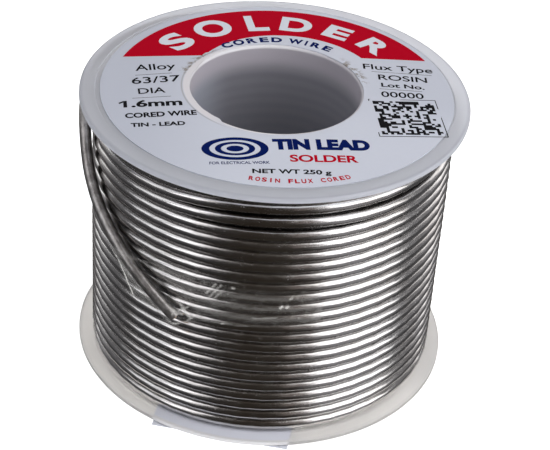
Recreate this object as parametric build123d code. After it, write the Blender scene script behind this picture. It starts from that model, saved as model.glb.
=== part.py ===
"""A 250 g spool of flux-cored solder wire, 1.6 mm across.

A plastic spool carries six layers of wire. The spool is a barrel whose two spigots hold the flanges.
The outer end of the wire is taped down on the winding, and printed paper lies on the upper flange.
The origin is on the spool's axis at the face that it stands on, with +Z up. Millimetres.
"""
from build123d import *
import math
import os

# wire
WIRE_D = 1.6
FLUX_D = 0.62  # rosin thread in the middle of the wire
LAYERS = 6
WINDING_R = 24.35  # outside of the last layer

# spool
GAP = 38.5  # between the flanges
FLANGE_T = 1.15
FLANGE_R = 26.2
CONE_R = 24.0  # a flange's outer face slopes from its hole to here
RIM_T = 0.7  # thickness from here outwards
GROOVE_W, GROOVE_T = 0.25, 0.08  # moulded line between the cone and the rim
RIM_EDGE_R = 0.3  # rounding of the rim's outer edge
BORE_R = 11.5
SPIGOT_R = 13.0  # end of the barrel that passes through a flange
BARREL_R = 15.05  # what the first layer is wound on
BORE_EDGE_R = 0.3

# paper and tape
LABEL_T = 0.1
LABEL_R = 23.7
LABEL_AT = (0.25, 0.0)  # the label is stuck on a little off centre
LABEL_HOLE_R = 12.1
LABEL_HOLE_AT = (-0.3, -0.1)
STICKER_W, STICKER_L = 18.8, 9.0
STICKER_EDGE = 25.2  # its outer edge from the axis, so that its corners pass the rim
STICKER_ANGLE = 259.8
TAPE_T = 0.1
TAPE_W = 8.0
TAPE_Z = 21.6
TAPE_ANGLES = (216.0, 288.0)

# the wire's outer end: angle round the axis, distance from it, and height, at each corner of its route
TOP_TURN_Z = 38.8
POCKET_ANGLES = (97.0, 146.0)  # where the last turn climbs out of its layer
POCKET_Z = 37.8
TAIL_ROUTE = [
    (100.0, 23.85, TOP_TURN_Z),
    (117.0, 24.50, TOP_TURN_Z),
    (134.0, 25.40, 38.75),
    (152.0, 25.75, 38.6),
    (169.0, 25.65, 38.3),
    (182.0, 25.50, 37.6),
    (190.5, 25.45, 35.6),
    (195.5, 25.45, 33.1),
    (200.5, 25.45, 30.7),
    (209.0, 25.50, 28.4),
    (218.0, 25.50, 26.1),
    (227.0, 25.50, 23.7),
    (236.0, 25.50, 21.2),
    (244.3, 25.40, 18.7),
]

UPPER_Z = FLANGE_T + GAP  # inner face of the upper flange
SPOOL_H = 2 * FLANGE_T + GAP


def ring(outer_r, inner_r, low_z, high_z):
    """Plain tube about the spool's axis."""
    height = high_z - low_z
    tube = Cylinder(outer_r, height) - Cylinder(inner_r, height)
    return Pos(0, 0, (low_z + high_z) / 2) * tube


def sector(outer_r, inner_r, low_z, high_z, first_angle, last_angle):
    """The part of a ring from one angle to another."""
    middle = ((inner_r + outer_r) / 2, 0, (low_z + high_z) / 2)
    profile = Plane.XZ * Pos(middle[0], middle[2]) * Rectangle(outer_r - inner_r, high_z - low_z)
    solid = revolve(profile, Axis.Z, last_angle - first_angle)
    return Rot(0, 0, first_angle) * solid


def on_cylinder(angle, radius, height):
    """Point at that angle, in degrees, round the spool's axis."""
    turn = math.radians(angle)
    return (radius * math.cos(turn), radius * math.sin(turn), height)


def barrel():
    """Tube that carries the winding, with a spigot at each end and rounded bore edges."""
    body = ring(BARREL_R, BORE_R, FLANGE_T, UPPER_Z)
    body += ring(SPIGOT_R, BORE_R, 0, FLANGE_T)
    body += ring(SPIGOT_R, BORE_R, UPPER_Z, SPOOL_H)
    mouths = body.edges().filter_by(GeomType.CIRCLE)
    mouths = [e for e in mouths if abs(e.radius - BORE_R) < 0.01 and e.center().Z in (0, SPOOL_H)]
    return fillet(mouths, BORE_EDGE_R)


def flange():
    """Disc with its wire side at z = 0, thinning from its hole to its rim."""
    outline = Polyline(
        (SPIGOT_R, 0),
        (FLANGE_R, 0),
        (FLANGE_R, RIM_T),
        (CONE_R + GROOVE_W, RIM_T),
        (CONE_R + GROOVE_W / 2, RIM_T - GROOVE_T),
        (CONE_R, RIM_T),
        (SPIGOT_R, FLANGE_T),
        close=True,
    )
    disc = revolve(Plane.XZ * make_face(outline), Axis.Z)
    rim_edges = disc.edges().filter_by(GeomType.CIRCLE)
    rim_edges = [e for e in rim_edges if abs(e.radius - FLANGE_R) < 0.01]
    return fillet(rim_edges, RIM_EDGE_R)


def paper_on_flange(outline):
    """Paper of that outline, as seen from above, lying on the upper flange and the spigot's end."""
    skin = Polyline(
        (BORE_R - 1, SPOOL_H),
        (SPIGOT_R, SPOOL_H),
        (CONE_R, UPPER_Z + RIM_T),
        (FLANGE_R + 2, UPPER_Z + RIM_T),
        (FLANGE_R + 2, UPPER_Z + RIM_T + LABEL_T),
        (CONE_R, UPPER_Z + RIM_T + LABEL_T),
        (SPIGOT_R, SPOOL_H + LABEL_T),
        (BORE_R - 1, SPOOL_H + LABEL_T),
        close=True,
    )
    sheet = revolve(Plane.XZ * make_face(skin), Axis.Z)
    return sheet & Pos(0, 0, UPPER_Z) * extrude(outline, 2 * FLANGE_T)


def label():
    """Printed paper ring on the upper flange."""
    return paper_on_flange(Pos(*LABEL_AT) * Circle(LABEL_R) - Pos(*LABEL_HOLE_AT) * Circle(LABEL_HOLE_R))


def sticker():
    """Plain paper rectangle under the lower flange, with its corners past the rim."""
    paper = Pos(STICKER_EDGE - STICKER_L / 2, 0) * Rectangle(STICKER_L, STICKER_W)
    on_top = paper_on_flange(Rot(0, 0, -STICKER_ANGLE) * paper)
    return Pos(0, 0, SPOOL_H) * Rot(180, 0, 0) * on_top


def layer(number):
    """Outer shape of one layer of wire; 1 lies on the barrel. The last has the tail's pocket."""
    step = (WINDING_R - BARREL_R) / LAYERS
    inner_r = BARREL_R + (number - 1) * step
    shape = ring(inner_r + step, inner_r, FLANGE_T, UPPER_Z)
    if number == LAYERS:
        shape -= sector(WINDING_R + 1, inner_r, POCKET_Z, UPPER_Z + 1, *POCKET_ANGLES)
    return shape


def tail_path():
    """Straight runs joined by arcs as large as the runs allow, and the arcs' radii."""
    points = [Vector(*on_cylinder(*corner)) for corner in TAIL_ROUTE]
    radii = []
    for before, corner, after in zip(points, points[1:], points[2:]):
        half_turn = math.radians((corner - before).get_angle(after - corner)) / 2
        shorter = min((corner - before).length, (after - corner).length)
        radii.append(0.45 * shorter / math.tan(half_turn))
    return FilletPolyline(*points, radius=radii), radii


def tube(path, diameter):
    """Round bar along the path."""
    return sweep(Plane(origin=path @ 0, z_dir=path % 0) * Circle(diameter / 2), path=path)


def tape():
    """Clear tape, lying round the winding."""
    low_z = TAPE_Z - TAPE_W / 2
    return sector(WINDING_R + TAPE_T, WINDING_R, low_z, low_z + TAPE_W, *TAPE_ANGLES)


os.makedirs("parts", exist_ok=True)

disc = flange()
parts = {
    "barrel": barrel(),
    "lower_flange": Pos(0, 0, FLANGE_T) * Rot(180, 0, 0) * disc,
    "upper_flange": Pos(0, 0, UPPER_Z) * disc,
    "label": label(),
    "underside_sticker": sticker(),
    "tape": tape(),
}
for number in range(1, LAYERS + 1):
    parts[f"solder_layer_{number}"] = layer(number)

route, arc_radii = tail_path()
flux = tube(route, FLUX_D)
parts["solder_tail"] = tube(route, WIRE_D) - flux
parts["flux_core"] = flux
print("tail arc radii, mm:", [round(r, 1) for r in arc_radii])
section = math.pi * WIRE_D**2 / 4
whole = parts["solder_tail"].volume + flux.volume
print(f"tail length {route.length:.1f} mm, volume {whole:.1f}, section x length {section * route.length:.1f}")

for name, shape in parts.items():
    export_step(shape, f"parts/{name}.step")
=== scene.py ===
import math
import random

import bmesh
import bpy
import numpy as np
from mathutils import Matrix, Quaternion, Vector, noise


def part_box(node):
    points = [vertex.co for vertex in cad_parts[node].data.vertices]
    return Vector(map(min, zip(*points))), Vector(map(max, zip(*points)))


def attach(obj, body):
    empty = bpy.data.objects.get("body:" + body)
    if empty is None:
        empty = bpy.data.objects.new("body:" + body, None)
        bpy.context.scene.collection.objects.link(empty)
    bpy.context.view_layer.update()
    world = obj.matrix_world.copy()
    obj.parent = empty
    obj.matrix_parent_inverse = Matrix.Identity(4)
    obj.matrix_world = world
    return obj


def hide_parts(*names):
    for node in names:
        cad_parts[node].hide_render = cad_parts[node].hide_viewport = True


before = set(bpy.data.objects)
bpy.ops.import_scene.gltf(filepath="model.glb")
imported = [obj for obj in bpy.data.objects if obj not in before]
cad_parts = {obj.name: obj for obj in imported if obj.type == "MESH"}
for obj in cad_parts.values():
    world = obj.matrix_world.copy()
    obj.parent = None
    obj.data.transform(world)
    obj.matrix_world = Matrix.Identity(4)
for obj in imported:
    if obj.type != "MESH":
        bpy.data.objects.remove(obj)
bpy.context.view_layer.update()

mm = 0.001


# ---------------------------------------------------------------------------------------------------
# Camera. It stands a quarter of a metre in front of the spool, on the side the label reads from,
# looks down on it, and is rolled a little.

view_from = Vector((0, -209.549, 161.578)) * mm
view_of = Vector((1.2025, -0.826, 19.240)) * mm
camera_roll = math.radians(4.122)

camera_data = bpy.data.cameras.new("camera")
camera_data.sensor_width = 36
camera_data.lens = 118.03
camera_data.clip_start = 0.01
camera_data.clip_end = 20
camera = bpy.data.objects.new("camera", camera_data)
camera.rotation_mode = "QUATERNION"
camera.location = view_from
look = (view_of - view_from).to_track_quat("-Z", "Y")
camera.rotation_quaternion = look @ Quaternion((0, 0, 1), camera_roll)
bpy.context.scene.collection.objects.link(camera)
bpy.context.scene.camera = camera


# ---------------------------------------------------------------------------------------------------
# Floor and studio. A plain white table with upright soft boxes to the left, to the right and behind,
# a dim warm card in front and a soft light from above. Between the left boxes and the card it stays
# dark, so that the bright wire has something dark to mirror.

floor_half = 3.0
floor_z = -0.01 * mm
studio = bpy.context.scene
studio.view_settings.view_transform = "Standard"

floor_paint = bpy.data.materials.new("table_white")
floor_paint.use_nodes = True
floor_shader = floor_paint.node_tree.nodes["Principled BSDF"]
floor_shader.inputs["Base Color"].default_value = (0.9, 0.9, 0.9, 1)
floor_shader.inputs["Roughness"].default_value = 0.9
floor_shader.inputs["Emission Color"].default_value = (1, 1, 1, 1)
floor_shader.inputs["Emission Strength"].default_value = 0.85

bm = bmesh.new()
bmesh.ops.create_grid(bm, x_segments=1, y_segments=1, size=floor_half)
bmesh.ops.translate(bm, verts=bm.verts, vec=(0, 0, floor_z))
floor_mesh = bpy.data.meshes.new("floor")
bm.to_mesh(floor_mesh)
bm.free()
floor_mesh.materials.append(floor_paint)
floor = bpy.data.objects.new("floor", floor_mesh)
floor.visible_glossy = False
floor.visible_shadow = False
bpy.context.scene.collection.objects.link(floor)


def upright_panel(name, first, last, low, high, away, radiance, tint):
    """Upright soft box, from one azimuth to another and between two heights, in metres, facing the spool."""
    middle, half = math.radians((first + last) / 2), math.radians((last - first) / 2)
    lamp = bpy.data.lights.new(name, "AREA")
    lamp.shape = "RECTANGLE"
    lamp.size = 2 * away * math.tan(half)
    lamp.size_y = high - low
    lamp.energy = radiance * math.pi * lamp.size * lamp.size_y
    lamp.color = tint
    panel = bpy.data.objects.new(name, lamp)
    panel.location = (away * math.cos(middle), away * math.sin(middle), (low + high) / 2)
    panel.rotation_mode = "QUATERNION"
    panel.rotation_quaternion = Vector((-math.cos(middle), -math.sin(middle), 0)).to_track_quat("-Z", "Y")
    bpy.context.scene.collection.objects.link(panel)


upright_panel("soft_box_left_rear", 181, 202, 0.16, 1.00, 0.5, 1.15, (0.97, 0.98, 1.0))
upright_panel("soft_box_left_front", 207, 226, 0.16, 1.00, 0.5, 1.9, (0.98, 0.97, 1.0))
upright_panel("soft_box_left_edge", 226, 234, 0.16, 1.00, 0.5, 0.9, (1.0, 0.97, 0.97))
upright_panel("soft_box_right", 304.5, 355, 0.02, 1.5, 0.5, 2.3, (1.0, 0.99, 1.0))
upright_panel("soft_box_rear_right", 26, 52, 0.05, 0.46, 0.5, 1.1, (1.0, 0.97, 0.94))
upright_panel("soft_box_rear_left", 126, 149, 0.04, 0.34, 0.5, 0.9, (0.97, 1.0, 0.98))
upright_panel("warm_card_front", 286, 301, 0.02, 1.0, 0.52, 0.16, (1.0, 0.84, 0.78))

# a soft light from above for the paper and the plastic, which the wire doesn't mirror
above_size = 0.7
above_radiance = 1.9
above_lamp = bpy.data.lights.new("soft_box_above", "AREA")
above_lamp.shape = "RECTANGLE"
above_lamp.size = above_size
above_lamp.size_y = above_size
above_lamp.energy = above_radiance * math.pi * above_size * above_size
above_lamp.color = (0.95, 0.975, 1.0)
above = bpy.data.objects.new("soft_box_above", above_lamp)
above.location = (0.22, -0.20, 0.90)
above.visible_glossy = False
bpy.context.scene.collection.objects.link(above)


def math_step(tree, operation, first, second=None, third=None, clamp=False):
    """Math node whose inputs are sockets or numbers; gives its output socket."""
    node = tree.nodes.new("ShaderNodeMath")
    node.operation = operation
    node.use_clamp = clamp
    for socket, value in zip(node.inputs, (first, second, third)):
        if isinstance(value, bpy.types.NodeSocket):
            tree.links.new(value, socket)
        elif value is not None:
            socket.default_value = value
    return node.outputs[0]


def ramp(tree, source, low, high, low_value=0.0, high_value=1.0):
    """Smooth change from one value to another as the source goes from low to high."""
    node = tree.nodes.new("ShaderNodeMapRange")
    node.interpolation_type = "SMOOTHSTEP"
    tree.links.new(source, node.inputs["Value"])
    node.inputs["From Min"].default_value = low
    node.inputs["From Max"].default_value = high
    node.inputs["To Min"].default_value = low_value
    node.inputs["To Max"].default_value = high_value
    return node.outputs["Result"]


def blend_colour(tree, amount, first, second):
    """Colour between two, which are sockets or colours."""
    node = tree.nodes.new("ShaderNodeMix")
    node.data_type = "RGBA"
    for socket, value in ((node.inputs[0], amount), (node.inputs[6], first), (node.inputs[7], second)):
        if isinstance(value, bpy.types.NodeSocket):
            tree.links.new(value, socket)
        else:
            socket.default_value = value
    return node.outputs[2]


def split_axes(tree, coordinates):
    """X, Y and Z of those coordinates, as sockets by name."""
    node = tree.nodes.new("ShaderNodeSeparateXYZ")
    tree.links.new(coordinates, node.inputs[0])
    return node.outputs


# what the bright wire mirrors besides the soft boxes: a dark front, grey sides and a paler back
room = bpy.data.worlds.new("room")
room.use_nodes = True
studio.world = room
sky = room.node_tree
room_axes = split_axes(sky, sky.nodes.new("ShaderNodeTexCoord").outputs["Generated"])
to_right = ramp(sky, room_axes["X"], 0.40, 0.75, 0.0, 0.16)
to_left = ramp(sky, room_axes["X"], -0.75, -0.40, 0.09, 0.0)
to_back = ramp(sky, room_axes["Y"], 0.25, 0.55, 0.0, 0.30)
below_top = ramp(sky, room_axes["Z"], 0.35, 0.62, 1.0, 0.10)
overhead = ramp(sky, room_axes["Z"], 0.55, 0.95, 0.0, 0.03)
above_table = ramp(sky, room_axes["Z"], -0.40, 0.05, 0.20, 1.0)
both_sides = math_step(sky, "ADD", to_right, to_left)
sides = math_step(sky, "ADD", both_sides, math_step(sky, "MULTIPLY", to_back, below_top))
sides = math_step(sky, "MULTIPLY", sides, above_table)
right_table = ramp(sky, room_axes["X"], 0.35, 0.60, 0.0, 0.24)
right_table = math_step(sky, "MULTIPLY", right_table, ramp(sky, room_axes["Z"], -0.20, 0.02, 1.0, 0.0))
right_table = math_step(sky, "MULTIPLY", right_table, ramp(sky, room_axes["Y"], -0.15, 0.10, 1.0, 0.0))
room_base = math_step(sky, "ADD", overhead, 0.030)
room_light = math_step(sky, "ADD", math_step(sky, "ADD", sides, right_table), room_base)
to_side = math_step(sky, "ABSOLUTE", room_axes["X"])
room_tint = blend_colour(sky, ramp(sky, to_side, 0.15, 0.60), (1.0, 0.80, 0.62, 1), (0.985, 0.965, 1.0, 1))
room_dark = sky.nodes["Background"]
sky.links.new(room_tint, room_dark.inputs["Color"])
sky.links.new(room_light, room_dark.inputs["Strength"])
room_pale = sky.nodes.new("ShaderNodeBackground")
room_pale.inputs["Color"].default_value = (0.97, 0.97, 0.97, 1)
room_ray = sky.nodes.new("ShaderNodeLightPath")
room_mix = sky.nodes.new("ShaderNodeMixShader")
sky.links.new(room_ray.outputs["Is Camera Ray"], room_mix.inputs[0])
sky.links.new(room_dark.outputs[0], room_mix.inputs[1])
sky.links.new(room_pale.outputs[0], room_mix.inputs[2])
sky.links.new(room_mix.outputs[0], sky.nodes["World Output"].inputs["Surface"])


# ---------------------------------------------------------------------------------------------------
# Barrel. The moulded tube in the middle, of natural polypropylene, that the wire is wound on. Its
# spigots hold the two flanges, and the wire shows faintly through its wall as rings.

bore_r = 11.5
spigot_r = 13.0
layers = 6
first_layer_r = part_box("solder_layer_1")[1].x / mm
layer_step = (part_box("solder_layer_6")[1].x / mm - first_layer_r) / (layers - 1)
barrel_r = first_layer_r - layer_step
under_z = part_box("solder_layer_1")[0].z / mm
over_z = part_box("solder_layer_1")[1].z / mm
spool_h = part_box("barrel")[1].z / mm
wire_pitch = 1.62


def from_centre(tree, x, y):
    """Distance from the centre that x and y are measured from."""
    square_x = math_step(tree, "MULTIPLY", x, x)
    return math_step(tree, "SQRT", math_step(tree, "MULTIPLY_ADD", y, y, square_x))


def band(tree, source, rise, full, fade, gone):
    """1 where the source is between full and fade, running out to 0 at rise and at gone."""
    rising = ramp(tree, source, rise, full)
    return math_step(tree, "MULTIPLY", rising, ramp(tree, source, fade, gone, 1.0, 0.0))


def speckle(tree, coordinates, scale, detail=3.0, roughness=0.5, stretch=(1, 1, 1)):
    """Noise on those coordinates, squeezed along each axis by stretch."""
    place = tree.nodes.new("ShaderNodeMapping")
    place.inputs["Scale"].default_value = stretch
    tree.links.new(coordinates, place.inputs["Vector"])
    grain = tree.nodes.new("ShaderNodeTexNoise")
    grain.inputs["Scale"].default_value = scale
    grain.inputs["Detail"].default_value = detail
    grain.inputs["Roughness"].default_value = roughness
    tree.links.new(place.outputs[0], grain.inputs["Vector"])
    return grain.outputs["Fac"]


def bump(tree, height, distance, strength, shader):
    """Relief of that height, in metres, on the shader."""
    node = tree.nodes.new("ShaderNodeBump")
    node.inputs["Strength"].default_value = strength
    node.inputs["Distance"].default_value = distance
    tree.links.new(height, node.inputs["Height"])
    tree.links.new(node.outputs[0], shader.inputs["Normal"])


def new_finish(name):
    """Empty principled material: gives the material, its tree, its shader and Object coordinates."""
    paint = bpy.data.materials.new(name)
    paint.use_nodes = True
    tree = paint.node_tree
    here = tree.nodes.new("ShaderNodeTexCoord").outputs["Object"]
    return paint, tree, tree.nodes["Principled BSDF"], here


def turned(outline, steps=200):
    """Ring turned about the spool's axis from a closed outline of (radius, height) corners, in mm."""
    bm = bmesh.new()
    corners = [bm.verts.new((r * mm, 0, z * mm)) for r, z in outline]
    sides = [bm.edges.new(pair) for pair in zip(corners, corners[1:] + corners[:1])]
    bmesh.ops.spin(
        bm, geom=corners + sides, cent=(0, 0, 0), axis=(0, 0, 1), angle=2 * math.pi,
        steps=steps, use_merge=True,
    )
    bmesh.ops.remove_doubles(bm, verts=bm.verts, dist=1e-7)
    bmesh.ops.recalc_face_normals(bm, faces=bm.faces)
    return bm


def round_rings(bm, rings, radius, segments=4):
    """Rounds the turned ring's circular edges at those (radius, height) corners."""
    edges = []
    for edge in bm.edges:
        ends = [(math.hypot(v.co.x, v.co.y) / mm, v.co.z / mm) for v in edge.verts]
        for r, z in rings:
            if all(abs(a - r) < 0.01 and abs(b - z) < 0.01 for a, b in ends):
                edges.append(edge)
    bmesh.ops.bevel(
        bm, geom=edges, offset=radius * mm, offset_type="OFFSET", affect="EDGES",
        segments=segments, profile=0.5, material=-1,
    )


def settle(bm, name, finish, replaced=(), sharp=40):
    """Turns the mesh into a piece that rides on the spool and stands for the CAD nodes replaced."""
    mesh = bpy.data.meshes.new(name)
    bm.to_mesh(mesh)
    bm.free()
    mesh.polygons.foreach_set("use_smooth", [True] * len(mesh.polygons))
    mesh.set_sharp_from_angle(angle=math.radians(sharp))
    mesh.materials.append(finish)
    piece = bpy.data.objects.new(name, mesh)
    bpy.context.scene.collection.objects.link(piece)
    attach(piece, "root")
    if replaced:
        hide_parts(*replaced)
    return piece


barrel_finish, tree, shader, here = new_finish("natural_polypropylene_barrel")
along = split_axes(tree, here)
ring_phase = math_step(tree, "MULTIPLY", along["Z"], 2 * math.pi / (wire_pitch * mm))
cloud = speckle(tree, here, 90, 4, 0.55, (1, 1, 2.2))
ring_drift = math_step(tree, "MULTIPLY_ADD", cloud, 5.0, ring_phase)
ring_wave = math_step(tree, "SINE", ring_drift)
ring_soft = ramp(tree, ring_wave, -1.0, 1.0, 0.0, 1.0)
# painted light near the bore's mouth
mouth_painted_light = ramp(tree, along["Z"], (spool_h - 4.6) * mm, (spool_h - 1.6) * mm)
# the wall's dark tone is partly the wire behind it and partly painted shade in the bore
wall_tone = blend_colour(tree, ring_soft, (0.235, 0.235, 0.265, 1), (0.255, 0.255, 0.285, 1))
# painted shade, darker deeper down the bore
bore_depth_shade = ramp(tree, along["Z"], 20 * mm, 36 * mm, 1.0, 0.0)
wall_tone = blend_colour(tree, bore_depth_shade, wall_tone, (0.165, 0.165, 0.19, 1))
# painted light on the bore's left wall
left_wall_painted_light = ramp(tree, along["X"], -11.6 * mm, -6.0 * mm, 1.0, 0.0)
wall_tone = blend_colour(tree, left_wall_painted_light, wall_tone, (0.38, 0.40, 0.46, 1))
wall_tone = blend_colour(tree, mouth_painted_light, wall_tone, (0.50, 0.475, 0.525, 1))
# the lip has the plastic's paler own colour, with painted light stronger to its left
lip_tone_and_light = ramp(tree, along["Z"], (spool_h - 0.45) * mm, (spool_h - 0.2) * mm)
lip_tone_and_light = math_step(tree, "MULTIPLY", lip_tone_and_light, ramp(tree, along["X"], -1.0 * mm, 9.0 * mm, 1.0, 0.25))
wall_tone = blend_colour(tree, lip_tone_and_light, wall_tone, (0.80, 0.79, 0.82, 1))
tree.links.new(wall_tone, shader.inputs["Base Color"])
shader.inputs["Roughness"].default_value = 0.42
shader.inputs["IOR"].default_value = 1.49
shader.inputs["Subsurface Weight"].default_value = 0.25
shader.inputs["Subsurface Radius"].default_value = (1.0, 0.95, 0.9)
shader.inputs["Subsurface Scale"].default_value = 0.0012
grain = speckle(tree, here, 900, 3, 0.6)
bump(tree, grain, 0.00002, 0.25, shader)

bm = turned([
    (bore_r, 0), (spigot_r, 0), (spigot_r, under_z), (barrel_r, under_z),
    (barrel_r, over_z), (spigot_r, over_z), (spigot_r, spool_h), (bore_r, spool_h),
])
round_rings(bm, [(bore_r, 0), (bore_r, spool_h)], 0.3)
round_rings(bm, [(spigot_r, 0), (spigot_r, spool_h)], 0.08, 2)
settle(bm, "barrel_tube", barrel_finish, ["barrel"])


# ---------------------------------------------------------------------------------------------------
# Flanges. Two thin moulded discs of natural polypropylene pressed on the barrel's spigots. Each
# thins from its hole to its rim, with a moulded line where the label's seat ends.

flange_r = 26.2
seat_r = 24.0
rim_t = 0.7
flange_t = 1.15
sticker_w, sticker_l = 18.8, 9.0
sticker_edge = 25.2
sticker_turn = math.radians(259.8)


def face_height(r):
    """Height of the upper flange's outer face at that radius."""
    if r < spigot_r:
        return spool_h
    slope = min(r - spigot_r, seat_r - spigot_r) / (seat_r - spigot_r)
    return spool_h - (flange_t - rim_t) * slope


def flange_mesh():
    """Disc with its wire side at z = 0 and its outer face up."""
    fit_r = spigot_r + 0.02
    seat_line = [(24.42, rim_t), (24.32, rim_t + 0.04), (24.14, rim_t + 0.04), (24.08, rim_t - 0.05)]
    bm = turned([
        (fit_r, 0), (flange_r, 0), (flange_r, rim_t), *seat_line, (seat_r, rim_t - 0.02), (fit_r, flange_t),
    ], 240)
    round_rings(bm, [(flange_r, 0)], 0.16, 3)
    round_rings(bm, [(flange_r, rim_t)], 0.3, 5)
    return bm


def polypropylene(name, sticker_shows):
    """Natural, slightly milky plastic. Where paper lies behind it, it looks cooler."""
    paint, tree, shader, here = new_finish(name)
    cloud = speckle(tree, here, 60, 4, 0.55)
    if sticker_shows:
        tone = blend_colour(tree, cloud, (0.84, 0.82, 0.80, 1), (0.90, 0.885, 0.865, 1))
        turn = tree.nodes.new("ShaderNodeMapping")
        turn.vector_type = "POINT"
        turn.inputs["Rotation"].default_value = (0, 0, -sticker_turn)
        tree.links.new(here, turn.inputs["Vector"])
        place = split_axes(tree, turn.outputs[0])
        inner_side = sticker_edge - sticker_l
        outward = ramp(tree, place["X"], (inner_side - 0.2) * mm, (inner_side + 0.2) * mm)
        across = math_step(tree, "ABSOLUTE", place["Y"])
        within = ramp(tree, across, (sticker_w / 2 - 0.2) * mm, (sticker_w / 2 + 0.2) * mm, 1.0, 0.0)
        patch = math_step(tree, "MULTIPLY", outward, within)
        clear = math_step(tree, "MULTIPLY_ADD", patch, -0.60, 0.70)
        tree.links.new(clear, shader.inputs["Transmission Weight"])
        tone = blend_colour(tree, patch, tone, (0.74, 0.755, 0.83, 1))
    else:
        tone = blend_colour(tree, cloud, (0.78, 0.80, 0.865, 1), (0.84, 0.86, 0.91, 1))
        shader.inputs["Transmission Weight"].default_value = 0.50
    spot = split_axes(tree, here)
    out = from_centre(tree, spot["X"], spot["Y"])
    # painted shade on the rounded outer edge, darker towards the rim
    edge = ramp(tree, out, (flange_r - 0.65) * mm, (flange_r - 0.25) * mm, 0.0, 0.75)
    rim_shade_tone = (0.74, 0.73, 0.72, 1) if sticker_shows else (0.64, 0.66, 0.725, 1)
    tone = blend_colour(tree, edge, tone, rim_shade_tone)
    if sticker_shows:
        # painted shade on the lower flange's right side
        right_side_painted_shade = ramp(tree, spot["X"], 20.5 * mm, 25.0 * mm, 0.0, 0.8)
        tone = blend_colour(tree, right_side_painted_shade, tone, (0.68, 0.67, 0.66, 1))
    tree.links.new(tone, shader.inputs["Base Color"])
    shader.inputs["Roughness"].default_value = 0.36
    shader.inputs["IOR"].default_value = 1.49
    grain = speckle(tree, here, 700, 4, 0.6)
    bump(tree, grain, 0.00002, 0.3, shader)
    return paint


bm = flange_mesh()
bmesh.ops.rotate(bm, verts=bm.verts, cent=(0, 0, 0), matrix=Matrix.Rotation(math.pi, 3, "X"))
bmesh.ops.translate(bm, verts=bm.verts, vec=(0, 0, under_z * mm))
lower_finish = polypropylene("natural_polypropylene_lower", True)
settle(bm, "lower_flange_disc", lower_finish, ["lower_flange"])

bm = flange_mesh()
bmesh.ops.translate(bm, verts=bm.verts, vec=(0, 0, over_z * mm))
upper_finish = polypropylene("natural_polypropylene_upper", False)
settle(bm, "upper_flange_disc", upper_finish, ["upper_flange"])


# ---------------------------------------------------------------------------------------------------
# Solder wire. One length of 1.6 mm tin-lead wire with a rosin core, wound in six layers, each the
# other way up the barrel. Its outer end leaves the top turn, runs down the outside and is taped.

wire_d = 1.6
wire_r = wire_d / 2
points_a_turn = 16
bottom_turn_z = under_z + wire_r + 0.02
top_turn_z = 38.8
climb_turns = (top_turn_z - bottom_turn_z) / wire_pitch
change_turns = 0.25
end_angle = 100.0
polygon_out = 1 / math.cos(math.pi / points_a_turn)


def smooth(t):
    """0 to 1 with level ends."""
    t = min(max(t, 0.0), 1.0)
    return t * t * (3 - 2 * t)


def layer_radius(number):
    """Middle of the wire in that layer."""
    return barrel_r + layer_step * (number - 0.5)


def pushed_up(before_end, z):
    """The last two turns are pushed up against the flange, and the next lifts a little in front.

    The stretches are in turns before the end of the last one.
    """
    first = smooth((0.600 - before_end) / 0.05)
    second = smooth((1.600 - before_end) / 0.05) * smooth((before_end - 0.95) / 0.05)
    z += (top_turn_z - z) * first
    z += (top_turn_z - wire_d - 0.01 - z) * second
    third = smooth((before_end - 2.40) / 0.09) * smooth((2.62 - before_end) / 0.09)
    z += 0.48 * third
    return z


def turn_at(before_end):
    """(angle, radius, height) of the wire that many turns before its last turn's end."""
    stretch = climb_turns + change_turns
    number = layers - int(before_end // stretch)
    into = before_end % stretch
    upward = number % 2 == 0
    end_z, start_z = (top_turn_z, bottom_turn_z) if upward else (bottom_turn_z, top_turn_z)
    r = layer_radius(number)
    if into <= climb_turns:
        z = end_z + (start_z - end_z) * into / climb_turns
    else:
        z = start_z
        r += (layer_radius(number - 1) - r) * smooth((into - climb_turns) / change_turns)
    angle = end_angle - 360 * before_end
    if number == layers:
        z = pushed_up(before_end, z)
        turn = math.radians(angle)
        r += 0.06 * math.sin(2 * turn + 0.9 + 0.13 * before_end)
        r += 0.03 * math.sin(5 * turn + 0.37 * before_end)
        z += 0.035 * math.sin(3 * turn + 0.5 * before_end) * smooth(before_end / 2)
    return angle, r, z


def round_axis(angle, r, z):
    """That place round the spool's axis, in metres."""
    turn = math.radians(angle)
    return Vector((r * math.cos(turn), r * math.sin(turn), z)) * mm


whole_turns = layers * climb_turns + (layers - 1) * change_turns
steps = int(whole_turns * points_a_turn)
wire_points = []
for step in range(steps, 0, -1):
    angle, r, z = turn_at(step / points_a_turn)
    wire_points.append(round_axis(angle, r * polygon_out, z))

# the outer end: it climbs out of its layer, goes round under the rim, and down across the winding
tail_route = [
    (100.0, 23.85, 38.8), (117.0, 24.50, 38.8), (134.0, 25.40, 38.75), (152.0, 25.75, 38.6),
    (169.0, 25.65, 38.3), (182.0, 25.50, 37.6), (190.5, 25.45, 35.6), (195.5, 25.45, 33.1),
    (200.5, 25.45, 30.7), (209.0, 25.50, 28.4), (218.0, 25.50, 26.1), (227.0, 25.50, 23.7),
    (236.0, 25.50, 21.2), (244.3, 25.40, 18.7),
]
wire_points += [round_axis(*corner) for corner in tail_route]

wire_line = bpy.data.curves.new("solder_wire", "CURVE")
wire_line.dimensions = "3D"
wire_line.twist_mode = "Z_UP"
wire_line.bevel_depth = wire_r * mm
wire_line.bevel_resolution = 4
wire_line.use_fill_caps = True
strand = wire_line.splines.new("NURBS")
strand.points.add(len(wire_points) - 1)
strand.points.foreach_set("co", [c for p in wire_points for c in (*p, 1.0)])
strand.order_u = 3
strand.use_endpoint_u = True
strand.resolution_u = 3
wire_line.resolution_u = 3

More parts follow.
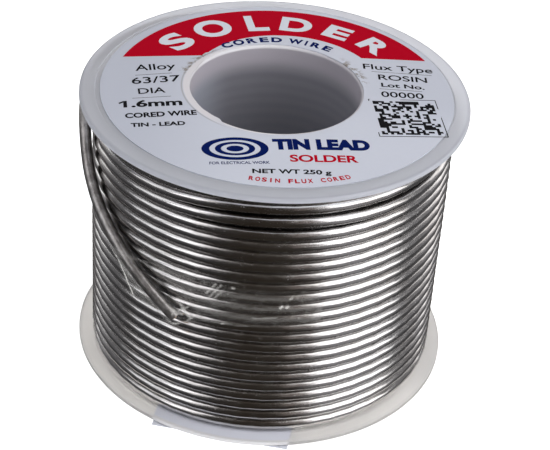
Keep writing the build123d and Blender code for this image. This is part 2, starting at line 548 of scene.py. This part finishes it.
solder_finish, tree, shader, here = new_finish("drawn_tin_lead")
place = split_axes(tree, here)
out = from_centre(tree, place["X"], place["Y"])
angle_round = math_step(tree, "ARCTAN2", place["Y"], place["X"])
level = math_step(tree, "MULTIPLY_ADD", angle_round, -wire_pitch * mm / (2 * math.pi), place["Z"])
arc = math_step(tree, "MULTIPLY", angle_round, 0.0018)
drawn = tree.nodes.new("ShaderNodeCombineXYZ")
tree.links.new(out, drawn.inputs["X"])
tree.links.new(arc, drawn.inputs["Y"])
tree.links.new(level, drawn.inputs["Z"])
die_lines = speckle(tree, drawn.outputs[0], 9000, 2, 0.6)
scuffs = speckle(tree, drawn.outputs[0], 2600, 3, 0.65, (1, 3.5, 1))
tarnish = speckle(tree, here, 130, 5, 0.62)
tarnish_mask = ramp(tree, tarnish, 0.42, 0.66)
dull_mask = ramp(tree, scuffs, 0.5, 0.72)
metal_tone = blend_colour(tree, tarnish_mask, (0.655, 0.645, 0.64, 1), (0.57, 0.55, 0.535, 1))
dull_share = math_step(tree, "MULTIPLY", dull_mask, 0.35)
metal_tone = blend_colour(tree, dull_share, metal_tone, (0.45, 0.43, 0.41, 1))
# painted shade: below the outer layer's middle the wire goes dark, in the crevices between turns and on the
# layers under it
crevice_painted_shade = ramp(tree, out, 22.5 * mm, 23.3 * mm, 0.85, 0.0)
metal_tone = blend_colour(tree, crevice_painted_shade, metal_tone, (0.10, 0.095, 0.09, 1))
on_tail = ramp(tree, out, 24.45 * mm, 24.70 * mm)
# shade on the winding above the tail, which comes down steeply at first and then less so
down_start = math_step(tree, "ADD", angle_round, math.radians(360 - 190.5))
steep_line = math_step(tree, "MULTIPLY_ADD", down_start, -28.1 * mm, 35.6 * mm)
long_line = math_step(tree, "MULTIPLY_ADD", down_start, -15.7 * mm, 33.44 * mm)
above_tail = math_step(tree, "SUBTRACT", place["Z"], math_step(tree, "MAXIMUM", steep_line, long_line))
beside = band(tree, above_tail, 0.2 * mm, 0.8 * mm, 1.5 * mm, 2.5 * mm)
beside = math_step(tree, "MULTIPLY", beside, band(tree, down_start, -0.15, 0.0, 0.86, 0.93))
beside = math_step(tree, "MULTIPLY", beside, 0.85)
metal_tone = blend_colour(tree, beside, metal_tone, (0.07, 0.065, 0.06, 1))
streaks = ramp(tree, speckle(tree, here, 520, 4, 0.65, (1.6, 1.6, 0.45)), 0.35, 0.70)
tail_tone = blend_colour(tree, streaks, (0.53, 0.51, 0.50, 1), (0.27, 0.255, 0.25, 1))
metal_tone = blend_colour(tree, on_tail, metal_tone, tail_tone)
tree.links.new(metal_tone, shader.inputs["Base Color"])
shader.inputs["Metallic"].default_value = 1.0
drawn_gloss = ramp(tree, scuffs, 0.35, 0.75, 0.17, 0.28)
tree.links.new(math_step(tree, "MULTIPLY_ADD", on_tail, 0.22, drawn_gloss), shader.inputs["Roughness"])
relief = math_step(tree, "MULTIPLY_ADD", scuffs, 1.4, die_lines)
bump(tree, relief, 0.000006, 0.14, shader)

wire = bpy.data.objects.new("solder_wire", wire_line)
bpy.context.scene.collection.objects.link(wire)
wire_line.materials.append(solder_finish)
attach(wire, "root")
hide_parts(*[f"solder_layer_{number}" for number in range(1, layers + 1)], "solder_tail")

# the rosin thread shows as an amber dot in the cut end
end_point = wire_points[-1]
end_way = (wire_points[-1] - wire_points[-2]).normalized()
flux_finish, tree, shader, here = new_finish("amber_rosin")
amber_cloud = speckle(tree, here, 4000, 3, 0.5)
amber = blend_colour(tree, amber_cloud, (0.45, 0.27, 0.08, 1), (0.68, 0.46, 0.20, 1))
tree.links.new(amber, shader.inputs["Base Color"])
shader.inputs["Roughness"].default_value = 0.25
shader.inputs["Coat Weight"].default_value = 0.4
flux_r = 0.31 * mm
plug_place = Matrix.Translation(end_point - end_way * 0.2 * mm)
plug_place = plug_place @ end_way.to_track_quat("Z", "Y").to_matrix().to_4x4()
bm = bmesh.new()
bmesh.ops.create_cone(
    bm, cap_ends=True, segments=24, radius1=flux_r, radius2=flux_r, depth=0.5 * mm, matrix=plug_place
)
caps = [face for face in bm.faces if len(face.verts) > 4]
rims = list({edge for face in caps for edge in face.edges})
bmesh.ops.bevel(
    bm, geom=rims, offset=0.06 * mm, offset_type="OFFSET", affect="EDGES",
    segments=2, profile=0.5, material=-1,
)
flux_plug = settle(bm, "flux_plug", flux_finish, ["flux_core"])


# ---------------------------------------------------------------------------------------------------
# Tape. A piece of clear adhesive tape, pressed on the winding over the wire's outer end. It tents
# over the wire, is creased along both sides of it, and wrinkles towards its ends.

tape_columns, tape_rows = 200, 48
winding_crest = layer_radius(layers) + wire_r + 0.05
tail_middle_r = 25.4
tape_tip_left, tape_tip_right = 22.9, 21.4
glint_mm_a_degree = 0.44
settling_rounds = 420
settling_pull = 0.0022


def tape_left(z):
    """Angle of the tape's slanting left end at that height."""
    return 215.2 + 1.9 * max(0.0, tape_tip_left - z) + 1.6 * max(0.0, z - tape_tip_left)


def tape_right(z):
    """Angle of its right end."""
    return 290.0 - 1.9 * max(0.0, z - tape_tip_right) - 1.2 * max(0.0, tape_tip_right - z)


def tape_low(u):
    """Height of its lower edge, u from 0 at the left end to 1."""
    return 17.5 + 1.8 * smooth(u * 1.3) + 0.10 * math.sin(17 * u)


def tape_high(u):
    """Height of its upper edge."""
    return 25.45 - 0.5 * u + 0.08 * math.sin(13 * u + 1.0)


def beside_tail(angle, z):
    """Distance from the taped wire's middle, along the winding, and how far past its cut end."""
    tail_start, tail_stop = tail_route[-5], tail_route[-1]
    per_degree = math.radians(1) * tail_middle_r
    ax, az = tail_start[0] * per_degree, tail_start[2]
    bx, bz = tail_stop[0] * per_degree, tail_stop[2]
    length = math.hypot(bx - ax, bz - az)
    ux, uz = (bx - ax) / length, (bz - az) / length
    px, pz = angle * per_degree - ax, z - az
    return px * uz - pz * ux, px * ux + pz * uz - length


# folds and scratches, each raised a little, with a painted glint where the tape is whiter and less clear:
# (angle, height) of both ends, half the width, how strong
glints = [
    (215, 23.6, 226, 18.0, 0.08, 0.60), (243.5, 20.0, 246.5, 19.5, 0.08, 0.26),
    (245, 20.8, 248.5, 19.0, 0.08, 0.28), (242.5, 18.6, 248.5, 18.2, 0.07, 0.20),
    (244, 19.6, 247.5, 20.4, 0.07, 0.22), (253, 23.3, 256, 25.2, 0.08, 0.20),
    (254, 22.7, 257.5, 25.0, 0.08, 0.18), (255.4, 22.6, 258.4, 24.4, 0.08, 0.14),
    (276, 22.5, 276.4, 22.7, 0.13, 0.38), (277.8, 22.5, 278.1, 22.7, 0.13, 0.34),
    (278.8, 23.9, 279.1, 24.1, 0.11, 0.22), (258.5, 19.0, 258.8, 19.1, 0.11, 0.30),
    (261, 24.9, 261.6, 25.0, 0.10, 0.25), (268, 20.6, 275, 20.9, 0.07, 0.14),
    (246, 17.9, 251, 19.6, 0.07, 0.16),
]


def glint_at(angle, z):
    """How strongly a fold or a scratch shows at that place on the tape, as a painted glint."""
    most = 0.0
    for first, low, last, high, half, strength in glints:
        start = Vector((first * glint_mm_a_degree, low))
        fold = Vector((last * glint_mm_a_degree, high)) - start
        spot = Vector((angle * glint_mm_a_degree, z)) - start
        part = min(max(spot.dot(fold) / fold.length_squared, 0.0), 1.0)
        off = (spot - fold * part).length
        most = max(most, strength * smooth((2.2 * half - off) / (1.6 * half)))
    return most


bm = bmesh.new()
glint_layer = bm.verts.layers.float.new("glint")
bmesh.ops.create_grid(bm, x_segments=tape_columns, y_segments=tape_rows, size=1.0)
tape_verts = sorted(bm.verts, key=lambda v: (round(v.co.y, 5), round(v.co.x, 5)))
shape = (tape_rows + 1, tape_columns + 1)
angles, heights, floors = np.zeros(shape), np.zeros(shape), np.zeros(shape)
for index, vert in enumerate(tape_verts):
    row, column = divmod(index, shape[1])
    u, v = (vert.co.x + 1) / 2, (vert.co.y + 1) / 2
    z = tape_low(u) + (tape_high(u) - tape_low(u)) * v
    angle = tape_left(z) + (tape_right(z) - tape_left(z)) * u
    ground = winding_crest - 0.10 + 0.10 * abs(math.cos(math.pi * (top_turn_z - z) / wire_pitch))
    away, past = beside_tail(angle, z)
    reach = math.hypot(away, max(0.0, past))
    if reach < wire_r + 0.04:
        ground = max(ground, tail_middle_r + 0.08 + math.sqrt((wire_r + 0.06) ** 2 - reach**2))
    angles[row, column], heights[row, column], floors[row, column] = angle, z, ground
# stretched over what it lies on: each round evens it out and draws it down, never below the metal
lift = floors.copy()
for _ in range(settling_rounds):
    padded = np.pad(lift, 1, mode="edge")
    beside = (padded[1:-1, :-2] + padded[1:-1, 2:]) / 2
    above = (padded[:-2, 1:-1] + padded[2:, 1:-1]) / 2
    lift = np.maximum(floors, 0.5 * beside + 0.5 * above - settling_pull)
for index, vert in enumerate(tape_verts):
    row, column = divmod(index, shape[1])
    angle, z, r = angles[row, column], heights[row, column], lift[row, column]
    away, past = beside_tail(angle, z)
    near_tail = math.exp(-((abs(away) - 1.6) / 1.3) ** 2)
    near_end = math.exp(-((angle - 287) / 5.5) ** 2) + 0.5 * math.exp(-((angle - 216) / 3.0) ** 2)
    edge_on = math.exp(-((z - heights[-1, column]) / 0.9) ** 2)
    crease = noise.noise(Vector((angle * 0.5, z * 1.1, 3.0)))
    sharp_crease = 1 - 2 * abs(noise.noise(Vector((angle * 0.85 + z * 0.5, z * 0.8 - angle * 0.1, 9.0))))
    lifted = 0.03 * (crease + 0.5) + 0.10 * max(0.0, sharp_crease - 0.35) * (0.15 + near_tail + near_end)
    lifted += 0.12 * near_end * max(0.0, crease + 0.15) + 0.06 * edge_on * max(0.0, crease)
    vert[glint_layer] = glint_at(angle, z)
    vert.co = round_axis(angle, r + 0.03 + lifted + 0.05 * vert[glint_layer], z)
bmesh.ops.recalc_face_normals(bm, faces=bm.faces)
bm.faces.ensure_lookup_table()
middle_face = bm.faces[len(bm.faces) // 2]
if middle_face.normal.dot(middle_face.calc_center_median()) < 0:
    bmesh.ops.reverse_faces(bm, faces=bm.faces)
bmesh.ops.solidify(bm, geom=bm.faces, thickness=-0.045 * mm)

tape_finish, tree, shader, here = new_finish("clear_tape")
haze = speckle(tree, here, 420, 4, 0.6)
crinkle = speckle(tree, here, 1500, 3, 0.6, (1, 1, 0.6))
flecks = speckle(tree, here, 3200, 2, 0.6)
facing = tree.nodes.new("ShaderNodeLayerWeight")
facing.inputs["Blend"].default_value = 0.35
glint = tree.nodes.new("ShaderNodeAttribute")
glint.attribute_name = "glint"
# painted glints: the tape turns whiter and less clear along its folds and scratches, broken into flecks
broken_painted_glint = math_step(tree, "MULTIPLY", glint.outputs["Fac"], ramp(tree, flecks, 0.32, 0.52, 0.35, 1.0))
veil = math_step(tree, "MULTIPLY", facing.outputs["Fresnel"], 0.08)
veil = math_step(tree, "ADD", veil, ramp(tree, haze, 0.50, 0.80, 0.0, 0.04))
veil = math_step(tree, "ADD", veil, broken_painted_glint, clamp=True)
tree.links.new(veil, shader.inputs["Alpha"])
shader.inputs["Base Color"].default_value = (0.86, 0.85, 0.82, 1)
shader.inputs["Roughness"].default_value = 0.07
shader.inputs["IOR"].default_value = 1.5
shader.inputs["Coat Weight"].default_value = 1.0
shader.inputs["Coat Roughness"].default_value = 0.04
bump(tree, crinkle, 0.00004, 0.08, shader)
settle(bm, "tape_strip", tape_finish, ["tape"], sharp=60)


# ---------------------------------------------------------------------------------------------------
# Label. A die-cut ring of coated paper stuck on the upper flange a little off centre, its hole edge
# uneven where it overhangs the bore, with a trace of old adhesive beside the hole.

label_t = 0.1
label_r = 23.7
label_at = (0.25, 0.0)
hole_r = 12.1
hole_at = (-0.3, -0.1)


def hole_edge(degrees):
    """How far the paper's inner edge stands in from its die-cut circle."""
    overhang = 0.85 * smooth((degrees - 138) / 16) * smooth((241 - degrees) / 9)
    tail = math.exp(-((degrees - 246) / 17.0) ** 2) * 0.12
    rough = 0.09 * noise.noise(Vector((degrees * 0.09, 0, 4.0)))
    rough += 0.04 * noise.noise(Vector((degrees * 0.4, 0, 8.0)))
    return overhang + tail + rough


def paper_wave(x, y):
    """How far the paper stands off the flange there, because it isn't stuck down quite flat."""
    return 0.018 * noise.noise(Vector((x * 0.22, y * 0.22, 1.0))) + 0.018


def disc_ring(outer_r, inner_r, sides, rings):
    """Flat ring at z = 0, in metres, facing up, with that many faces round and across."""
    bm = bmesh.new()
    for r in (inner_r, outer_r):
        bmesh.ops.create_circle(bm, cap_ends=False, segments=sides, radius=r * mm)
    bmesh.ops.bridge_loops(bm, edges=bm.edges)
    spokes = [e for e in bm.edges if abs(e.verts[0].co.length - e.verts[1].co.length) > 0.5 * mm]
    bmesh.ops.subdivide_edges(bm, edges=spokes, cuts=rings - 1, use_grid_fill=True)
    bmesh.ops.recalc_face_normals(bm, faces=bm.faces)
    bm.faces.ensure_lookup_table()
    if bm.faces[0].normal.z < 0:
        bmesh.ops.reverse_faces(bm, faces=bm.faces)
    return bm


bm = disc_ring(label_r, hole_r, 288, 22)
for vert in bm.verts:
    r = vert.co.length / mm
    outward = (r - hole_r) / (label_r - hole_r)
    degrees = math.degrees(math.atan2(vert.co.y, vert.co.x)) % 360
    r -= hole_edge(degrees) * (1 - outward) ** 5
    r += 0.04 * noise.noise(Vector((degrees * 0.05, 2.0, 0.0))) * outward**4
    x = r * math.cos(math.radians(degrees)) + hole_at[0] * (1 - outward) + label_at[0] * outward
    y = r * math.sin(math.radians(degrees)) + hole_at[1] * (1 - outward) + label_at[1] * outward
    curl = 0.08 * (1 - outward) ** 30 * max(0.0, noise.noise(Vector((degrees * 0.03, 5.0, 0.0))))
    vert.co = Vector((x, y, face_height(math.hypot(x, y)) + label_t + paper_wave(x, y) + curl)) * mm
bmesh.ops.solidify(bm, geom=bm.faces, thickness=label_t * mm)
bmesh.ops.recalc_face_normals(bm, faces=bm.faces)

paper_finish, tree, shader, here = new_finish("coated_paper")
fibre = speckle(tree, here, 1600, 5, 0.65)
shade = speckle(tree, here, 45, 3, 0.5)
paper_tone = blend_colour(tree, shade, (0.635, 0.665, 0.755, 1), (0.67, 0.70, 0.785, 1))
paper_tone = blend_colour(tree, ramp(tree, fibre, 0.3, 0.75, 0.0, 0.12), paper_tone, (0.57, 0.60, 0.69, 1))
place = split_axes(tree, here)
from_hole_x = math_step(tree, "SUBTRACT", place["X"], hole_at[0] * mm)
from_hole_y = math_step(tree, "SUBTRACT", place["Y"], hole_at[1] * mm)
hole_distance = from_centre(tree, from_hole_x, from_hole_y)
beside_hole = ramp(tree, hole_distance, 12.2 * mm, 13.6 * mm, 1.0, 0.0)
upper_half = ramp(tree, place["Y"], 1.5 * mm, 3.5 * mm)
off_middle = ramp(tree, math_step(tree, "ABSOLUTE", place["X"]), 8.2 * mm, 9.8 * mm)
grime = ramp(tree, speckle(tree, here, 900, 5, 0.7, (1, 1, 1)), 0.47, 0.57)
stain = math_step(tree, "MULTIPLY", math_step(tree, "MULTIPLY", beside_hole, upper_half), off_middle)
stain = math_step(tree, "MULTIPLY", stain, grime)
# painted shade: the label is darker towards its left, and on its right away from the front
label_left_shade = ramp(tree, place["X"], -20.0 * mm, -3.0 * mm, 0.9, 0.0)
label_right_shade = ramp(tree, place["X"], 9.0 * mm, 17.0 * mm, 0.0, 0.5)
label_right_shade = math_step(tree, "MULTIPLY", label_right_shade, ramp(tree, place["Y"], -9.0 * mm, -1.0 * mm))
label_side_shade = math_step(tree, "ADD", label_left_shade, label_right_shade)
paper_tone = blend_colour(tree, label_side_shade, paper_tone, (0.545, 0.575, 0.66, 1))
paper_tone = blend_colour(tree, stain, paper_tone, (0.20, 0.16, 0.12, 1))
# painted light on the paper turned in at the hole's left edge, and painted shade along its fold
left_side = ramp(tree, place["X"], -9.0 * mm, -5.0 * mm, 1.0, 0.0)
turned_in_painted_light = math_step(tree, "MULTIPLY", ramp(tree, hole_distance, 12.0 * mm, 12.25 * mm, 1.0, 0.0), left_side)
paper_tone = blend_colour(tree, turned_in_painted_light, paper_tone, (0.76, 0.74, 0.77, 1))
fold_painted_shade = band(tree, hole_distance, 12.15 * mm, 12.28 * mm, 12.3 * mm, 12.5 * mm)
fold_painted_shade = math_step(tree, "MULTIPLY", math_step(tree, "MULTIPLY", fold_painted_shade, left_side), 0.55)
paper_tone = blend_colour(tree, fold_painted_shade, paper_tone, (0.30, 0.28, 0.27, 1))
tree.links.new(paper_tone, shader.inputs["Base Color"])
shader.inputs["Roughness"].default_value = 0.42
shader.inputs["Specular IOR Level"].default_value = 0.35
bump(tree, fibre, 0.00001, 0.2, shader)
settle(bm, "label_ring", paper_finish, ["label"])


# ---------------------------------------------------------------------------------------------------
# Print on the label. Red, navy and black ink, laid out on its own axes, which are turned a few
# degrees on the spool because the label was stuck on askew.

art_at = Vector((0.6, 0.1, 0))
art_turn = Matrix.Rotation(math.radians(6.5), 4, "Z")
ink_t = 0.012


def ink(name, colour, roughness):
    """Flat offset ink with the paper's texture showing."""
    paint, tree, shader, here = new_finish(name)
    grain = speckle(tree, here, 2200, 4, 0.65)
    paler = [c + (1 - c) * 0.001 for c in colour]
    tone = blend_colour(tree, ramp(tree, grain, 0.35, 0.8, 0.0, 1.0), (*colour, 1), (*paler, 1))
    tree.links.new(tone, shader.inputs["Base Color"])
    shader.inputs["Roughness"].default_value = roughness
    shader.inputs["Specular IOR Level"].default_value = 0.02
    bump(tree, grain, 0.000008, 0.2, shader)
    return paint


def laid(bm, ink_above=0.0):
    """Turns a flat mesh in the artwork's own millimetres into ink on the label's surface."""
    bmesh.ops.transform(bm, matrix=Matrix.Translation(art_at) @ art_turn, verts=bm.verts)
    for vert in bm.verts:
        r = math.hypot(vert.co.x, vert.co.y)
        vert.co.z += face_height(r) + label_t + paper_wave(vert.co.x, vert.co.y) + ink_above + 0.006
        vert.co *= mm
    return bm


def lettering(words, cap, width, bold):
    """Flat letters as a mesh in millimetres: left end and baseline at the origin, that tall and long."""
    text = bpy.data.curves.new("letters", "FONT")
    text.body = words
    text.size = 1.0
    text.offset = bold
    text.extrude = 0.5
    text.resolution_u = 6
    shown = bpy.data.objects.new("letters", text)
    mesh = bpy.data.meshes.new_from_object(shown)
    bpy.data.objects.remove(shown)
    bpy.data.curves.remove(text)
    bm = bmesh.new()
    bm.from_mesh(mesh)
    bpy.data.meshes.remove(mesh)
    bmesh.ops.remove_doubles(bm, verts=bm.verts, dist=1e-6)
    bmesh.ops.dissolve_degenerate(bm, edges=bm.edges, dist=1e-6)
    left = min(v.co.x for v in bm.verts)
    right = max(v.co.x for v in bm.verts)
    cap_height = 0.729 + 2 * bold
    bmesh.ops.translate(bm, verts=bm.verts, vec=(-left, bold, 0))
    bmesh.ops.scale(bm, verts=bm.verts, vec=(width / (right - left), cap / cap_height, ink_t))
    return bm


def printed(target, words, cap, width, at, tilt=0.0, bold=0.0):
    """Adds a line of letters to that ink, its left end at a place on the artwork."""
    bm = lettering(words, cap, width, bold)
    placing = Matrix.Translation((*at, 0)) @ Matrix.Rotation(math.radians(tilt), 4, "Z")
    bmesh.ops.transform(bm, matrix=placing, verts=bm.verts)
    joined(target, bm)


def joined(target, bm):
    """Adds one mesh to another and frees it."""
    carrier = bpy.data.meshes.new("carrier")
    bm.to_mesh(carrier)
    bm.free()
    target.from_mesh(carrier)
    bpy.data.meshes.remove(carrier)


def round_the_hole(target, letters, cap, radius, bold, inward=False):
    """Adds single letters on a circle: (letter, angle of its middle, width). Inward ones read from below."""
    for letter, angle, width in letters:
        bm = lettering(letter, cap, width, bold)
        bmesh.ops.translate(bm, verts=bm.verts, vec=(-width / 2, 0, 0))
        lean = angle + 90 if inward else angle - 90
        turn = math.radians(angle)
        placing = Matrix.Translation((radius * math.cos(turn), radius * math.sin(turn), 0))
        placing = placing @ Matrix.Rotation(math.radians(lean), 4, "Z")
        bmesh.ops.transform(bm, matrix=placing, verts=bm.verts)
        joined(target, bm)


def bar(target, at, size, tilt=0.0):
    """Adds a printed rule, from its left end."""
    bm = bmesh.new()
    bmesh.ops.create_cube(bm, size=1.0)
    bmesh.ops.translate(bm, verts=bm.verts, vec=(0.5, 0, 0))
    bmesh.ops.scale(bm, verts=bm.verts, vec=(size[0], size[1], ink_t))
    placing = Matrix.Translation((*at, 0)) @ Matrix.Rotation(math.radians(tilt), 4, "Z")
    bmesh.ops.transform(bm, matrix=placing, verts=bm.verts)
    joined(target, bm)


# the red field: a ring between two arcs that aren't quite on one centre, cut off straight below
field_outer_r, field_inner_r = 22.55, 12.63
inner_arc_shift = Vector((1.07, 1.97, 0))
field_foot = 8.4
bm = disc_ring(field_outer_r, field_inner_r, 240, 18)
bmesh.ops.scale(bm, verts=bm.verts, vec=(1 / mm, 1 / mm, 1))
for vert in bm.verts:
    inward = (field_outer_r - vert.co.length) / (field_outer_r - field_inner_r)
    vert.co += inner_arc_shift * inward
bmesh.ops.bisect_plane(
    bm, geom=bm.verts[:] + bm.edges[:] + bm.faces[:], plane_co=(0, field_foot, 0), plane_no=(0, 1, 0),
    clear_inner=True,
)
bmesh.ops.solidify(bm, geom=bm.faces, thickness=ink_t)
bmesh.ops.recalc_face_normals(bm, faces=bm.faces)
red = laid(bm)

word_on_red = bmesh.new()
for letter, angle, width, cap, foot in (
    ("S", 136.7, 4.0, 5.0, 16.1), ("O", 116.4, 5.4, 5.3, 16.0), ("L", 95.9, 3.1, 5.2, 16.0),
    ("D", 78.2, 4.5, 4.7, 16.2), ("E", 59.2, 3.7, 4.1, 16.6), ("R", 40.2, 4.3, 4.2, 16.8),
):
    round_the_hole(word_on_red, [(letter, angle, width)], cap, foot, 0.040)
knockout_ink = ink("print_knockout", (0.70, 0.73, 0.80), 0.42)
settle(laid(word_on_red, ink_t), "print_knockout", knockout_ink)

navy = bmesh.new()
round_the_hole(
    navy,
    [("C", 119.8, 1.5), ("O", 111.6, 1.6), ("R", 103.2, 1.4), ("E", 95.4, 1.25), ("D", 87.6, 1.5),
     ("W", 76.0, 2.0), ("I", 69.4, 0.28), ("R", 63.2, 1.4), ("E", 55.6, 1.25)],
    1.55, 12.45, 0.045,
)
printed(navy, "TIN LEAD", 2.55, 12.5, (-2.15, -15.55), 0.5, 0.065)
printed(navy, "FOR ELECTRICAL WORK", 0.62, 7.6, (-10.4, -18.8), 1.0, 0.015)
# a plain figure of two flattened rings round a dot, for a coil of wire seen from its end
figure_at = (-7.0, -15.3, 0)
figure_stretch = (1.55, 0.92, 1)
for outer_r, inner_r in ((2.75, 2.1), (1.65, 1.15), (0.7, 0.0)):
    if inner_r:
        figure = disc_ring(outer_r, inner_r, 64, 1)
        bmesh.ops.scale(figure, verts=figure.verts, vec=(1 / mm, 1 / mm, 1))
    else:
        figure = bmesh.new()
        bmesh.ops.create_circle(figure, cap_ends=True, segments=48, radius=outer_r)
    bmesh.ops.scale(figure, verts=figure.verts, vec=figure_stretch)
    bmesh.ops.translate(figure, verts=figure.verts, vec=figure_at)
    bmesh.ops.solidify(figure, geom=figure.faces, thickness=ink_t)
    bmesh.ops.recalc_face_normals(figure, faces=figure.faces)
    joined(navy, figure)
settle(laid(navy), "print_navy", ink("print_navy", (0.002, 0.0105, 0.095), 0.5))

red_words = bmesh.new()
printed(red_words, "SOLDER", 1.65, 8.7, (-0.2, -18.2), 0.0, 0.03)
rim_words = "ROSIN FLUX CORED"
rim_words_r = 22.85
rim_words_from, rim_words_span = -104.9, 33.5
for index, letter in enumerate(rim_words):
    if letter != " ":
        angle = rim_words_from + rim_words_span * (index + 0.5) / len(rim_words)
        slim = 0.2 if letter == "I" else 0.62
        round_the_hole(red_words, [(letter, angle, slim)], 0.92, rim_words_r, 0.035, inward=True)
joined(red, laid(red_words))
settle(red, "print_red", ink("print_red", (0.465, 0.001, 0.016), 0.48))

black = bmesh.new()
printed(black, "Alloy", 1.75, 5.45, (-19.25, 4.35), 4.0, 0.010)
bar(black, (-19.35, 3.15), (5.0, 0.07), 4.5)
printed(black, "63/37", 1.75, 6.5, (-19.75, 0.8), 4.5, 0.010)
printed(black, "DIA", 1.5, 3.6, (-18.95, -1.85), 4.0, 0.010)
bar(black, (-19.8, -2.9), (5.1, 0.07), 3.5)
printed(black, "1.6mm", 1.75, 7.7, (-20.95, -5.2), 2.0, 0.032)
# the flag of the 1
bar(black, (-21.55, -4.15), (0.75, 0.30), 36)
printed(black, "CORED WIRE", 1.25, 9.3, (-20.75, -7.85), 3.2, 0.035)
printed(black, "TIN - LEAD", 1.0, 7.0, (-20.05, -10.0), 2.0, 0.035)
printed(black, "Flux Type", 1.55, 9.6, (11.85, 5.35), -2.5, 0.010)
bar(black, (12.9, 4.65), (8.3, 0.07), -2.4)
printed(black, "ROSIN", 1.5, 6.7, (13.6, 2.5), -2.6, 0.010)
printed(black, "Lot No.", 1.15, 5.9, (13.75, 0.55), -2.6, 0.022)
bar(black, (13.4, 0.0), (5.8, 0.07), -2.6)
printed(black, "00000", 1.5, 5.75, (13.45, -2.1), -1.0, 0.010)
printed(black, "NET WT 250 g", 1.0, 9.9, (-5.15, -20.7), -1.4, 0.03)
# a plain block of random cells in a thin frame, where the lot is marked for stock-taking
cells = 21
block_size = 8.2
block_gap = 0.5
block_line = 0.12
block_whole = block_size + 2 * block_gap
cell = block_size / cells
draw = random.Random(7)
dots = bmesh.new()
for row in range(cells):
    for column in range(cells):
        if draw.random() < 0.47:
            bar(dots, (column * cell, (row + 0.5) * cell), (cell, cell))
for y in (0.05 - block_gap, block_size + block_gap - 0.05):
    bar(dots, (-block_gap, y), (block_whole, block_line))
for x in (-block_gap, block_size + block_gap - block_line):
    bar(dots, (x, block_size / 2), (block_line, block_whole))
block_place = Matrix.Translation((12.35, -11.5, 0)) @ Matrix.Rotation(math.radians(2.5), 4, "Z")
bmesh.ops.transform(dots, matrix=block_place, verts=dots.verts)
joined(black, dots)
settle(laid(black), "print_black", ink("print_black", (0.010, 0.010, 0.012), 0.5))


# ---------------------------------------------------------------------------------------------------
# Sticker under the spool. A plain rectangle of white paper stuck to the lower flange from below, so
# near its rim that two corners stand out past it and curl.

sticker_t = 0.1

bm = bmesh.new()
bmesh.ops.create_grid(bm, x_segments=18, y_segments=36, size=0.5)
for vert in bm.verts:
    x = sticker_edge - sticker_l * (0.5 - vert.co.x)
    y = sticker_w * vert.co.y
    r = math.hypot(x, y)
    curl = 0.10 * smooth((r - 25.9) / 0.9) * (1.0 if y > 0 else -0.3)
    z = spool_h - face_height(r) - sticker_t - 0.01 + curl
    place = Vector((x * math.cos(sticker_turn) - y * math.sin(sticker_turn),
                    x * math.sin(sticker_turn) + y * math.cos(sticker_turn), max(z, 0.02)))
    vert.co = place * mm
bmesh.ops.solidify(bm, geom=bm.faces, thickness=-(sticker_t - 0.02) * mm)
bmesh.ops.recalc_face_normals(bm, faces=bm.faces)

sticker_finish, tree, shader, here = new_finish("plain_sticker_paper")
fibre = speckle(tree, here, 1300, 5, 0.65)
specks = ramp(tree, speckle(tree, here, 620, 2, 0.4), 0.70, 0.74)
sticker_tone = blend_colour(tree, fibre, (0.62, 0.64, 0.70, 1), (0.69, 0.71, 0.77, 1))
sticker_tone = blend_colour(tree, specks, sticker_tone, (0.18, 0.15, 0.13, 1))
tree.links.new(sticker_tone, shader.inputs["Base Color"])
shader.inputs["Roughness"].default_value = 0.6
bump(tree, fibre, 0.000015, 0.3, shader)
settle(bm, "sticker_sheet", sticker_finish, ["underside_sticker"])
